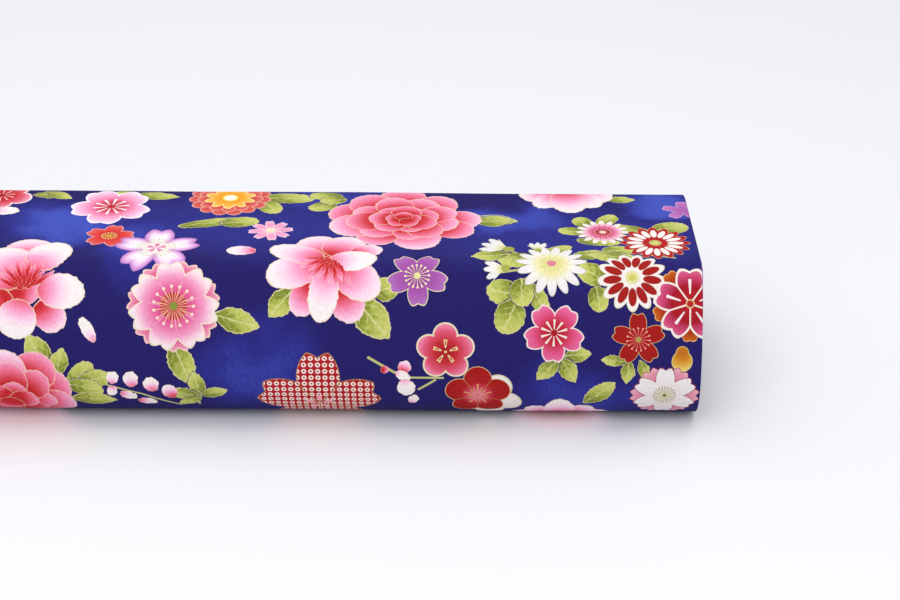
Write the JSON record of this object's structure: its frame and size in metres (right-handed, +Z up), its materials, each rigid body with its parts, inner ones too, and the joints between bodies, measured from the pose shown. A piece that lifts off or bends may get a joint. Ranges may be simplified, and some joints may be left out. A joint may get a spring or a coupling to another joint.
{
  "type": "fabric bolt",
  "caption": "Doubled quilting cotton with a floral print, wound flat on a folded corrugated core, its cut end pinned down at the back.",
  "frame": {"origin": "middle of the face it lies on", "axes": "+X along the bolt towards the fold of the doubled cloth, the selvages at -X; +Z up, through the flat winding's thickness; -Y is the front and the cut end hangs down the back at +Y"},
  "size_m": [0.56, 0.1314, 0.084],
  "materials": {
    "cloth": "fine plain-weave cotton, right side out, royal blue ground printed with flowers outlined in gold; white on the wrong side",
    "kraft_board": "brown kraft, matt",
    "gummed_tape": "buff gummed paper tape, slightly glossy",
    "label_paper": "blank off-white coated paper",
    "pin_steel": "drawn bright steel wire",
    "pin_pearl": "pearl white, glossy"
  },
  "bodies": {
    "wound_bolt": {"cloth_inner_turns": "cloth", "cloth_outer_turn": "cloth", "core_outer_liner": "kraft_board", "core_fluting": "kraft_board", "core_inner_liner": "kraft_board", "core_spacer": "kraft_board", "core_seam_tape": "gummed_tape", "start_tape_1": "gummed_tape", "start_tape_2": "gummed_tape", "start_tape_3": "gummed_tape"},
    "tail": {"cloth_tail": "cloth"},
    "pin_1": {"pin_shaft_1": "pin_steel", "pin_head_1": "pin_pearl"},
    "pin_2": {"pin_shaft_2": "pin_steel", "pin_head_2": "pin_pearl"},
    "pin_3": {"pin_shaft_3": "pin_steel", "pin_head_3": "pin_pearl"},
    "plug_left": {"end_plug_left": "kraft_board", "end_label": "label_paper"},
    "plug_right": {"end_plug_right": "kraft_board"}
  },
  "joints": [
    {"name": "tail_lift", "type": "hinge", "parent": "wound_bolt", "child": "tail", "pos_m": [0, 0.04723, 0.08007], "axis": [1, 0, 0], "range_deg": [0, 140]},
    {"name": "pin_1_pull", "type": "slide", "parent": "tail", "child": "pin_1", "axis": [-0.9925, 0.113, 0.0456], "range_m": [0, 0.04]},
    {"name": "pin_2_pull", "type": "slide", "parent": "tail", "child": "pin_2", "axis": [-0.9925, 0.113, 0.0456], "range_m": [0, 0.04]},
    {"name": "pin_3_pull", "type": "slide", "parent": "tail", "child": "pin_3", "axis": [-0.9925, 0.113, 0.0456], "range_m": [0, 0.04]},
    {"name": "plug_left_pull", "type": "slide", "parent": "wound_bolt", "child": "plug_left", "axis": [-1, 0, 0], "range_m": [0, 0.045]},
    {"name": "plug_right_pull", "type": "slide", "parent": "wound_bolt", "child": "plug_right", "axis": [1, 0, 0], "range_m": [0, 0.045]}
  ]
}
